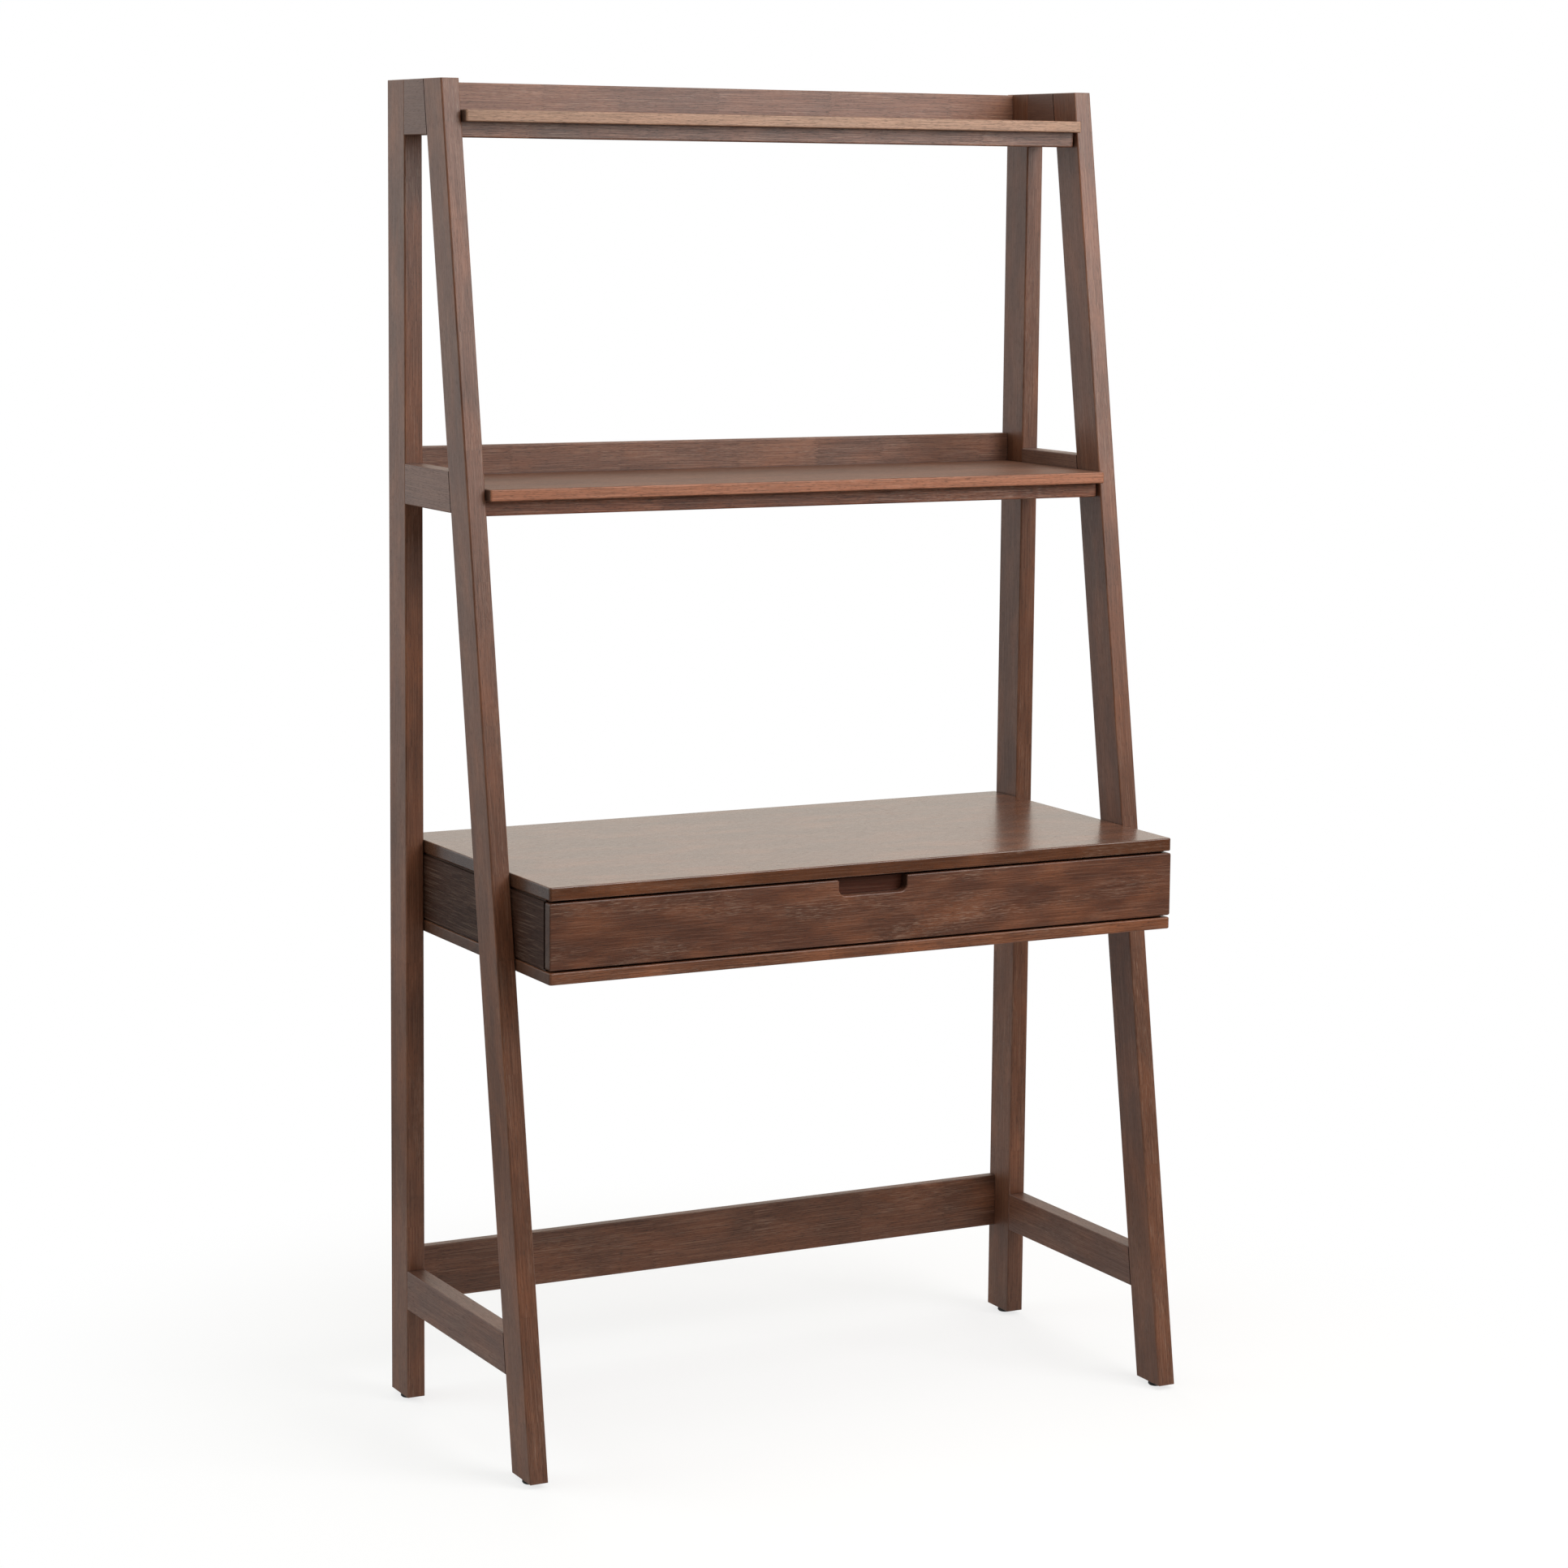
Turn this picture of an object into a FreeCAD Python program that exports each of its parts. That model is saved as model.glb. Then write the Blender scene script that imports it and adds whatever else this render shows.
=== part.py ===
import FreeCAD, Part
import math
import os

# Ladder desk: two A-shaped side frames carry two shelves, a desk box with one drawer and a
# low back rail. All lengths are in millimetres. +X is the desk's right, +Y its back, +Z up.
# The origin is on the floor, in the middle of the desk's width and depth.

# ---- driving dimensions: side frames ----
height = 1829.0            # floor to the tops of the legs
width = 1004.0             # over both side frames
leg_width = 26.5           # a leg's size along X
leg_depth = 59.0           # a leg's size across its own length, seen from the side
top_spread = 66.0          # between the two legs of a side frame, at the very top
lean = math.radians(9.1)   # how far a front leg leans back from upright
leg_ease = 2.5             # rounding of the legs' long edges
leg_end_ease = 1.0         # small bevel round the legs' ends
rail_ease = 1.5            # rounding of the long edges of rails and top blocks
top_block_height = 74.0    # the block between the two legs of a side frame, at their tops
rail_height = 55.0         # side rails, under the shelf and near the floor
mid_rail_rise = 20.0       # middle side rail's top edge above the middle shelf
lower_rail_top = 189.0     # lower side rail's top edge above the floor
tenon_length = 14.0        # rail tenons, into the legs
tenon_thickness = 9.0
tenon_shoulder = 9.0       # from a rail's edge to its tenon's edge
glue_gap = 0.1             # room for glue round tenons, tongues and pegs

# ---- driving dimensions: foot glides ----
glide_height = 6.5
glide_diameter = 21.0
glide_edge = 1.5
glide_pin_diameter = 3.0
glide_pin_length = 14.0

# ---- driving dimensions: shelves and low back rail ----
board = 16.0               # thickness of shelves, panels, aprons and rails between the frames
board_ease = 2.0           # rounding of board edges
top_shelf_drop = 41.0      # from the legs' tops down to the top shelf
mid_shelf_rise = 498.0     # from the desktop up to the middle shelf
shelf_nose = 14.0          # how far a shelf stands out past the front legs
board_corner = 4.0         # front corners of shelves and desktop, seen from above
shelf_back_rise = 40.0     # a shelf's back panel stands this far above it
apron_height = 20.5
apron_setback = 9.0        # from the front legs' front face to the apron's face
apron_end_gap = 1.0
apron_corner = 3.0         # lower corners of an apron, seen from the front
tongue_thickness = 5.0     # tongues that join boards along their edges
tongue_length = 6.0
tongue_end = 30.0          # a tongue stops this far from the ends of its board
back_rail_top = 209.0
back_rail_height = 77.0

# ---- driving dimensions: desk box ----
desktop_top = 796.0
desktop_thickness = 18.0
reveal = 3.0               # shadow gap round the drawer front and along the box's sides
drawer_front_height = 88.0

# ---- driving dimensions: drawer ----
drawer_front_thickness = 16.0
drawer_front_corner = 3.0
drawer_front_ease = 2.0
notch_width = 104.0        # finger notch in the drawer front's top edge
notch_depth = 22.0
notch_corner = 10.0
drawer_wall = 12.0         # sides, inner front and back of the drawer box
drawer_wall_ease = 1.0
drawer_top_gap = 1.0       # drawer box below the drawer front's top edge
drawer_bottom_gap = 7.0    # drawer box above the desk box's bottom board
drawer_tongue = 4.0        # corner tongues of the drawer box
drawer_panel = 5.0         # drawer bottom
drawer_panel_rise = 10.0   # drawer bottom's underside above the walls' lower edges
groove_depth = 6.0         # of the drawer bottom's groove
panel_slack = 0.5          # between the drawer bottom and the end of its groove

# ---- driving dimensions: drawer slides, three rolled steel members on each side ----
slide_step = 50.0          # slides are made in lengths of whole steps
slide_least_room = 20.0    # between the slides' rear ends and the desk box's back, at least
slide_thickness = 12.7     # between the desk box's side and the drawer box
slide_front_gap = 2.0      # slides start behind the side panel's front edge
slide_wall = 1.2           # thickness of the rolled steel
slide_bend = 0.8           # inside radius of its bends
outer_member_height = 45.0
middle_member_place = 3.0  # from the side panel to the middle member's web
ball_diameter = 3.2
ball_clearance = 0.1       # between the balls and their tracks, and round them in their cage
outer_ball_place = 7.0     # from the side panel to the balls outside the middle member
inner_ball_place = 8.2     # and to the balls inside it
lip_wrap = 55.0            # degrees that a member's rolled lip goes round its balls
cage_setback = 100.0       # from the slides' front ends to the ball cages
cage_length = 150.0
cage_width = 5.0
cage_wall = 1.0
cage_inset = 12.0          # from a cage's ends to its row of balls

# ---- driving dimensions: fixings ----
peg_diameter = 8.0         # beech pegs at the shelves' and back rail's ends
peg_in_leg = 12.0
peg_in_board = 18.0
cam_diameter = 15.0
cam_depth = 12.5
cam_setback = 24.0         # from a board's end to its cam's centre
cam_bolt_diameter = 6.0
cam_bolt_neck = 4.0
cam_bolt_neck_length = 3.0
cam_bolt_in_leg = 11.0
cam_bolt_room = 0.5        # round the bolt, in the board and in the cam
cam_slot_width = 1.6
cam_slot_depth = 1.5
bolt_diameter = 6.0        # bolts from inside the desk box into the legs
bolt_head_diameter = 12.0
bolt_head_height = 3.5
bolt_in_leg = 12.0
bolt_socket = 4.0
bolt_edge = 10.0           # from the desk box's boards to a bolt's centre
insert_diameter = 9.0      # threaded inserts in the legs
insert_length = 14.0
screw_diameter = 3.5       # screws of the slides and of the drawer front
screw_head_diameter = 7.0
screw_head_height = 1.4
screw_length = 10.0
slide_screw_inset = 40.0   # from a slide's ends to its first screws
slide_screws = 3
front_screw_length = 22.0
front_screws = 4
front_screw_inset = 70.0   # from the drawer box's sides to the outer screws
hole_room = 0.1            # round screws, bolts and inserts

# ---- places that follow from the driving dimensions ----
slope = math.tan(lean)
front_leg_run = leg_depth / math.cos(lean)
leg_bottom = glide_height
toe_reach = slope * (height - leg_bottom)
depth = leg_depth + top_spread + front_leg_run + toe_reach
back_y = depth / 2
front_y = -depth / 2
rear_leg_front = back_y - leg_depth
inner_x = width / 2 - leg_width
panel_front = back_y - board
top_shelf_top = height - top_shelf_drop
mid_shelf_top = desktop_top + mid_shelf_rise
block_bottom = height - top_block_height
mid_rail_top = mid_shelf_top + mid_rail_rise
desktop_bottom = desktop_top - desktop_thickness
drawer_front_top = desktop_bottom - reveal
drawer_front_bottom = drawer_front_top - drawer_front_height
underboard_top = drawer_front_bottom - reveal
underboard_bottom = underboard_top - board
drawer_front_back = front_y + drawer_front_thickness
desk_side_front = drawer_front_back + reveal
desk_side_inner = inner_x - board
drawer_half_width = desk_side_inner - slide_thickness
drawer_box_top = drawer_front_top - drawer_top_gap
drawer_box_bottom = underboard_top + drawer_bottom_gap
slide_front = desk_side_front + slide_front_gap
slide_room = panel_front - slide_least_room - slide_front
slide_length = slide_step * math.floor(slide_room / slide_step)
slide_back = slide_front + slide_length
slide_z = (desktop_bottom + underboard_top) / 2
ball_room = ball_diameter / 2 + ball_clearance
outer_ball_up = outer_member_height / 2 - slide_wall - ball_room
middle_member_half = outer_ball_up - ball_room
inner_ball_up = middle_member_half - slide_wall - ball_room
inner_member_half = inner_ball_up - ball_room
drawer_back = slide_back - slide_front_gap
SIDES = {"left": -1, "right": 1}

pieces = {}


def vector(x, y, z):
    return FreeCAD.Vector(x, y, z)


def front_leg_back(z):
    """Y of a front leg's rear face at height z."""
    return rear_leg_front - top_spread - slope * (height - z)


def front_leg_front(z):
    """Y of a front leg's front face at height z."""
    return front_leg_back(z) - front_leg_run


def front_leg_middle(z):
    return front_leg_back(z) - front_leg_run / 2


def box(x_pair, y_pair, z_pair):
    """A block between two values along each axis, given in either order."""
    low = vector(min(x_pair), min(y_pair), min(z_pair))
    high = vector(max(x_pair), max(y_pair), max(z_pair))
    return Part.makeBox(high.x - low.x, high.y - low.y, high.z - low.z, low)


def edges_along(solid, axis):
    """The straight edges of a solid that run along axis."""
    found = []
    for edge in solid.Edges:
        run = edge.Vertexes[-1].Point - edge.Vertexes[0].Point
        straight = isinstance(edge.Curve, Part.Line)
        if straight and run.Length > 0 and abs(run.dot(axis)) > 0.999 * run.Length:
            found.append(edge)
    return found


def edges_facing(solid, axis):
    """The edges round the two flat ends that a solid has along axis."""
    found = []
    for face in solid.Faces:
        flat = isinstance(face.Surface, Part.Plane)
        if flat and abs(face.normalAt(0, 0).dot(axis)) > 0.999:
            found.extend(face.OuterWire.Edges)
    return found


def plank(x_pair, y_pair, z_pair, ease):
    """A board along X: its four long edges are rounded and its ends are cut square."""
    solid = box(x_pair, y_pair, z_pair)
    return solid.makeFillet(ease, edges_along(solid, vector(1, 0, 0)))


def side_profile(points, x_pair):
    """A flat outline of (y, z) points in the side view, made solid between two X values."""
    x_low = min(x_pair)
    corners = [vector(x_low, y, z) for y, z in points]
    face = Part.Face(Part.makePolygon(corners + corners[:1]))
    return face.extrude(vector(max(x_pair) - x_low, 0, 0))


def rod(start, direction, length, diameter):
    return Part.makeCylinder(diameter / 2, length, start, direction)


def cut_from(name, tool):
    pieces[name] = pieces[name].cut(tool)


def frame_x(side):
    """The X span of a side frame: outer face, inner face."""
    return (side * width / 2, side * inner_x)


# ---- side frames ----


def eased_leg(solid, along):
    """Bevels the edges round a leg's level foot and top, then rounds its long edges."""
    solid = solid.makeChamfer(leg_end_ease, edges_facing(solid, vector(0, 0, 1)))
    return solid.makeFillet(leg_ease, edges_along(solid, along))


def rear_leg(side):
    solid = box(frame_x(side), (rear_leg_front, back_y), (leg_bottom, height))
    return eased_leg(solid, vector(0, 0, 1))


def front_leg(side):
    """The leaning leg. Its foot and its top are cut level."""
    outline = [
        (front_leg_back(leg_bottom), leg_bottom),
        (front_leg_back(height), height),
        (front_leg_front(height), height),
        (front_leg_front(leg_bottom), leg_bottom),
    ]
    solid = side_profile(outline, frame_x(side))
    return eased_leg(solid, vector(0, math.sin(lean), math.cos(lean)))


def side_rail(side, z_low, z_high):
    """A rail between the two legs of a side frame, with a stub tenon at each end."""
    outline = [
        (rear_leg_front, z_low),
        (rear_leg_front, z_high),
        (front_leg_back(z_high), z_high),
        (front_leg_back(z_low), z_low),
    ]
    solid = side_profile(outline, frame_x(side))
    solid = solid.makeFillet(rail_ease, edges_along(solid, vector(0, 1, 0)))
    return solid.fuse(rail_tenons(side, z_low, z_high, 0.0)).removeSplitter()


def rail_tenons(side, z_low, z_high, room):
    """Both tenons of a side rail, as one bar through the rail, grown by room for the mortises."""
    low = z_low + tenon_shoulder - room
    high = z_high - tenon_shoulder + room
    reach = tenon_length + room
    middle = side * (width / 2 - leg_width / 2)
    half = tenon_thickness / 2 + room
    outline = [
        (rear_leg_front + reach, low),
        (rear_leg_front + reach, high),
        (front_leg_back(high) - reach, high),
        (front_leg_back(low) - reach, low),
    ]
    return side_profile(outline, (middle - half, middle + half))


def make_side_frames():
    rails = {
        "top_block": (block_bottom, height),
        "mid_rail": (mid_rail_top - rail_height, mid_rail_top),
        "lower_rail": (lower_rail_top - rail_height, lower_rail_top),
    }
    for name, side in SIDES.items():
        pieces[name + "_rear_leg"] = rear_leg(side)
        pieces[name + "_front_leg"] = front_leg(side)
        for rail, (z_low, z_high) in rails.items():
            pieces[name + "_" + rail] = side_rail(side, z_low, z_high)
            mortises = rail_tenons(side, z_low, z_high, glue_gap)
            cut_from(name + "_rear_leg", mortises)
            cut_from(name + "_front_leg", mortises)


def make_glides():
    """A moulded pad with a steel pin, driven into the foot of each leg."""
    feet = {"rear": rear_leg_front + leg_depth / 2, "front": front_leg_middle(leg_bottom)}
    up = vector(0, 0, 1)
    for name, side in SIDES.items():
        for foot, y in feet.items():
            x = side * (width / 2 - leg_width / 2)
            pad = rod(vector(x, y, 0), up, glide_height, glide_diameter)
            rim = [edge for edge in pad.Edges if abs(edge.BoundBox.ZMax) < glide_edge / 2]
            pad = pad.makeChamfer(glide_edge, rim)
            pin = rod(vector(x, y, glide_height), up, glide_pin_length, glide_pin_diameter)
            pieces[name + "_" + foot + "_glide"] = pad.fuse(pin)
            bore = rod(pin.BoundBox.Center - vector(0, 0, glide_pin_length / 2), up,
                       glide_pin_length + glue_gap, glide_pin_diameter + 2 * hole_room)
            cut_from(name + "_" + foot + "_leg", bore)


# ---- shelves and low back rail ----


def wide_board(y_pair, z_pair):
    """A board that shows its front corners: they are rounded, seen from above, and then the
    top and bottom edges are eased along the front and both ends. Its back edge is square."""
    y_front, y_back = y_pair
    solid = box((-inner_x, inner_x), y_pair, z_pair)
    upright = edges_along(solid, vector(0, 0, 1))
    corners = [edge for edge in upright if edge.CenterOfMass.y < (y_front + y_back) / 2]
    solid = solid.makeFillet(board_corner, corners)
    level = [edge for edge in edges_facing(solid, vector(0, 0, 1))
             if edge.CenterOfMass.y < y_back - board_ease]
    return solid.makeFillet(board_ease, level)


def apron_board(x_pair, y_pair, z_pair):
    """The strip under a shelf: its lower corners are rounded, and so is its lower edge."""
    solid = box(x_pair, y_pair, z_pair)
    across = edges_along(solid, vector(0, 1, 0))
    lower = [edge for edge in across if edge.CenterOfMass.z < sum(z_pair) / 2]
    solid = solid.makeFillet(apron_corner, lower)
    outline = [edge for edge in edges_facing(solid, vector(0, 1, 0))
               if edge.CenterOfMass.z < max(z_pair) - board_ease]
    return solid.makeFillet(board_ease, outline)


def tongue(x_half, y_pair, z_pair):
    """A tongue along a board's edge, stopped short of the board's ends."""
    return box((-x_half + tongue_end, x_half - tongue_end), y_pair, z_pair)


def make_shelf(prefix, z_top):
    """A shelf with its back panel and its apron, glued along tongues."""
    z_low = z_top - board
    z_middle = z_top - board / 2
    y_front = front_leg_front(z_middle) - shelf_nose
    apron_x = inner_x - apron_end_gap
    apron_y = front_leg_front(z_low - apron_height / 2) + apron_setback
    apron_middle = apron_y + board / 2
    half = tongue_thickness / 2

    shelf = wide_board((y_front, panel_front), (z_low, z_top))
    back = plank((-inner_x, inner_x), (panel_front, back_y),
                 (z_low, z_top + shelf_back_rise), board_ease)
    apron = apron_board((-apron_x, apron_x), (apron_y, apron_y + board),
                        (z_low - apron_height, z_low))

    back_tongue = tongue(inner_x, (panel_front, panel_front + tongue_length),
                         (z_middle - half, z_middle + half))
    back_groove = tongue(inner_x + glue_gap, (panel_front, panel_front + tongue_length + glue_gap),
                         (z_middle - half - glue_gap, z_middle + half + glue_gap))
    apron_tongue = tongue(apron_x, (apron_middle - half, apron_middle + half),
                          (z_low, z_low + tongue_length))
    apron_groove = tongue(apron_x + glue_gap,
                          (apron_middle - half - glue_gap, apron_middle + half + glue_gap),
                          (z_low, z_low + tongue_length + glue_gap))
    pieces[prefix + "_shelf"] = shelf.cut(apron_groove).fuse(back_tongue).removeSplitter()
    pieces[prefix + "_back_panel"] = back.cut(back_groove)
    pieces[prefix + "_apron"] = apron.fuse(apron_tongue).removeSplitter()


def make_back_rail():
    z_pair = (back_rail_top - back_rail_height, back_rail_top)
    pieces["lower_back_rail"] = plank((-inner_x, inner_x), (panel_front, back_y), z_pair, board_ease)


# ---- desk box ----


def desk_side(side):
    """An upright side of the desk box, rebated outside along its top and bottom edges."""
    outer = side * inner_x
    inner = side * desk_side_inner
    solid = box((outer, inner), (desk_side_front, back_y), (underboard_top, desktop_bottom))
    rebate_x = (outer, outer - side * reveal)
    for z_pair in ((underboard_top, underboard_top + reveal),
                   (desktop_bottom - reveal, desktop_bottom)):
        solid = solid.cut(box(rebate_x, (desk_side_front, back_y), z_pair))
    return solid.fuse(desk_side_tongues(side, 0.0)).removeSplitter()


def desk_side_tongues(side, room):
    """The side panel's tongues, as one bar through its full height, grown by room."""
    middle = side * (desk_side_inner + (board - reveal) / 2)
    half = tongue_thickness / 2 + room
    reach = tongue_length + room
    return box((middle - half, middle + half),
               (desk_side_front + tongue_end - room, back_y - tongue_end + room),
               (underboard_top - reach, desktop_bottom + reach))


def desk_back_tongues(room):
    middle = back_y - board / 2
    half = tongue_thickness / 2 + room
    reach = tongue_length + room
    x_half = desk_side_inner - tongue_end + room
    return box((-x_half, x_half), (middle - half, middle + half),
               (underboard_top - reach, desktop_bottom + reach))


def make_desk_box():
    """Desktop and floor board, with two sides and a back glued between them."""
    top = wide_board((front_y, back_y), (desktop_bottom, desktop_top))
    floor = wide_board((front_y, back_y), (underboard_bottom, underboard_top))
    back = box((-desk_side_inner, desk_side_inner), (panel_front, back_y),
               (underboard_top, desktop_bottom))
    grooves = [desk_side_tongues(side, glue_gap) for side in SIDES.values()]
    grooves.append(desk_back_tongues(glue_gap))
    pieces["desktop"] = top.cut(grooves)
    pieces["desk_underboard"] = floor.cut(grooves)
    pieces["desk_back"] = back.fuse(desk_back_tongues(0.0)).removeSplitter()
    for name, side in SIDES.items():
        pieces["desk_" + name + "_side"] = desk_side(side)


# ---- drawer ----


def drawer_front():
    """The full-width front, with a finger notch in the middle of its top edge."""
    solid = box((-inner_x, inner_x), (front_y, drawer_front_back),
                (drawer_front_bottom, drawer_front_top))
    notch_bottom = drawer_front_top - notch_depth
    notch = box((-notch_width / 2, notch_width / 2),
                (front_y - notch_depth, drawer_front_back + notch_depth),
                (notch_bottom, drawer_front_top + notch_depth))
    across = edges_along(notch, vector(0, 1, 0))
    lower = [edge for edge in across if edge.CenterOfMass.z < drawer_front_top]
    solid = solid.cut(notch.makeFillet(notch_corner, lower))
    outer_corners = edges_along(solid, vector(0, 1, 0))
    sharp = [edge for edge in outer_corners
             if abs(edge.CenterOfMass.z - drawer_front_top) < glue_gap
             or abs(edge.CenterOfMass.z - drawer_front_bottom) < glue_gap]
    solid = solid.makeFillet(drawer_front_corner, sharp)
    faces = [edge for edge in solid.Edges if edge.BoundBox.YLength < drawer_front_thickness / 2]
    return solid.makeFillet(drawer_front_ease, faces)


def drawer_panel_shape(room):
    """The drawer's bottom panel, held in grooves all round, grown by room for the grooves."""
    reach = groove_depth - panel_slack + room
    inner_half = drawer_half_width - drawer_wall
    z_low = drawer_box_bottom + drawer_panel_rise
    slack = glue_gap if room else 0.0
    return box((-inner_half - reach, inner_half + reach),
               (drawer_front_back + drawer_wall - reach, drawer_back - drawer_wall + reach),
               (z_low - slack, z_low + drawer_panel + slack))


def drawer_cross_wall(y_pair, room):
    """The drawer's inner front or back: a board between the sides with a tongue at each end."""
    half = drawer_half_width - drawer_wall
    middle = sum(y_pair) / 2
    tongue_half = drawer_tongue / 2 + room
    reach = half + drawer_wall / 2 + room
    tongues = box((-reach, reach), (middle - tongue_half, middle + tongue_half),
                  (drawer_box_bottom - room, drawer_box_top + room))
    if room:
        return tongues
    wall = box((-half, half), y_pair, (drawer_box_bottom, drawer_box_top))
    return wall.fuse(tongues).removeSplitter()


def make_drawer():
    """Front, four walls joined by tongues, and a bottom panel in grooves."""
    wall_z = (drawer_box_bottom, drawer_box_top)
    front_wall = (drawer_front_back, drawer_front_back + drawer_wall)
    back_wall = (drawer_back - drawer_wall, drawer_back)
    groove = drawer_panel_shape(panel_slack)
    pieces["drawer_front"] = drawer_front()
    pieces["drawer_bottom"] = drawer_panel_shape(0.0)
    pieces["drawer_inner_front"] = drawer_cross_wall(front_wall, 0.0).cut(groove)
    pieces["drawer_back"] = drawer_cross_wall(back_wall, 0.0).cut(groove)
    slots = [drawer_cross_wall(front_wall, glue_gap), drawer_cross_wall(back_wall, glue_gap)]
    for name, side in SIDES.items():
        wall_x = (side * drawer_half_width, side * (drawer_half_width - drawer_wall))
        wall = box(wall_x, (drawer_front_back, drawer_back), wall_z)
        upper = [edge for edge in edges_along(wall, vector(0, 1, 0))
                 if edge.CenterOfMass.z > slide_z]
        wall = wall.makeFillet(drawer_wall_ease, upper)
        pieces["drawer_" + name + "_side"] = wall.cut(slots + [groove])


# ---- drawer slides ----


def slide_point(side, across, up, y):
    """A point in a slide: across is measured from the desk box's side towards the drawer."""
    return vector(side * (desk_side_inner - across), y, slide_z + up)


def channel(side, web, open_way, half, reach):
    """A rolled channel along Y, half its height above and below the middle. web is where its
    flat web's outer face stands, and open_way is +1 where it opens towards the drawer."""
    inside = half - slide_wall
    outline = [(0, -half), (reach, -half), (reach, -inside), (slide_wall, -inside),
               (slide_wall, inside), (reach, inside), (reach, half), (0, half)]
    corners = [slide_point(side, web + open_way * x, z, slide_front) for x, z in outline]
    face = Part.Face(Part.makePolygon(corners + corners[:1]))
    solid = face.extrude(vector(0, slide_length, 0))
    for depth_in, bend in ((0.0, slide_bend + slide_wall), (slide_wall, slide_bend)):
        x = slide_point(side, web + open_way * depth_in, 0, 0).x
        corners = [edge for edge in edges_along(solid, vector(0, 1, 0))
                   if abs(edge.CenterOfMass.x - x) < slide_wall / 4
                   and abs(edge.CenterOfMass.z - slide_z) > inside - slide_wall / 4]
        solid = solid.makeFillet(bend, corners)
    return solid


def lip(side, ball_place, ball_up, above, start):
    """A channel's edge, rolled round a row of balls from the angle start. above is +1 for the
    upper row and -1 for the lower one. Angles run from the drawer's direction upwards."""
    radii = (ball_room, ball_room + slide_wall)
    turns = [math.radians(start - lip_wrap * share) for share in (0.0, 0.5, 1.0)]
    inner, outer = [[slide_point(side, ball_place + radius * math.cos(turn),
                                 above * (ball_up + radius * math.sin(turn)), slide_front)
                     for turn in turns] for radius in radii]
    edges = [
        Part.Arc(*inner).toShape(),
        Part.makeLine(inner[2], outer[2]),
        Part.Arc(outer[2], outer[1], outer[0]).toShape(),
        Part.makeLine(outer[0], inner[0]),
    ]
    return Part.Face(Part.Wire(edges)).extrude(vector(0, slide_length, 0))


def member(side, web, open_way, half, ball_place, ball_up, lip_start):
    """A slide member: a channel whose flanges end in lips that hold the balls in."""
    reach = abs(ball_place - web)
    lips = [lip(side, ball_place, ball_up, above, lip_start) for above in (1, -1)]
    return channel(side, web, open_way, half, reach).fuse(lips).removeSplitter()


def ball_cage(side, ball_place, ball_up):
    """A strip above and one below, each with a long pocket that holds a row of balls. Each row
    is one round bar of the balls' diameter."""
    start = slide_front + cage_setback
    row_length = cage_length - 2 * cage_inset
    solids = []
    for above in (1, -1):
        up = above * ball_up
        low = slide_point(side, ball_place - cage_width / 2, up - cage_wall / 2, start)
        high = slide_point(side, ball_place + cage_width / 2, up + cage_wall / 2,
                           start + cage_length)
        strip = box((low.x, high.x), (low.y, high.y), (low.z, high.z))
        row_start = slide_point(side, ball_place, up, start + cage_inset)
        row = rod(row_start, vector(0, 1, 0), row_length, ball_diameter)
        end_room = vector(0, ball_clearance, 0)
        pocket = rod(row_start - end_room, vector(0, 1, 0), row_length + 2 * ball_clearance,
                     2 * ball_room)
        solids += [strip.cut(pocket), row]
    return Part.makeCompound(solids)


def make_slides():
    """On each side: an outer member on the desk box, an inner member on the drawer, a middle
    member between them, and a ball cage on each side of the middle member's flanges."""
    for name, side in SIDES.items():
        pieces[name + "_slide_outer"] = member(
            side, 0.0, 1, outer_member_height / 2, outer_ball_place, outer_ball_up, 90.0)
        pieces[name + "_slide_middle"] = member(
            side, middle_member_place, 1, middle_member_half, inner_ball_place, inner_ball_up, 90.0)
        pieces[name + "_slide_inner"] = member(
            side, slide_thickness, -1, inner_member_half, inner_ball_place, inner_ball_up, 270.0)
        pieces[name + "_outer_cage"] = ball_cage(side, outer_ball_place, outer_ball_up)
        pieces[name + "_inner_cage"] = ball_cage(side, inner_ball_place, inner_ball_up)


# ---- fixings ----


def peg(board_name, leg_name, point, way):
    """A beech peg across the joint between a leg's inner face and a board's end."""
    start = point - way * peg_in_leg
    length = peg_in_leg + peg_in_board
    bore = rod(start - way * glue_gap, way, length + 2 * glue_gap, peg_diameter + 2 * glue_gap)
    cut_from(board_name, bore)
    cut_from(leg_name, bore)
    return rod(start, way, length, peg_diameter)


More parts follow.
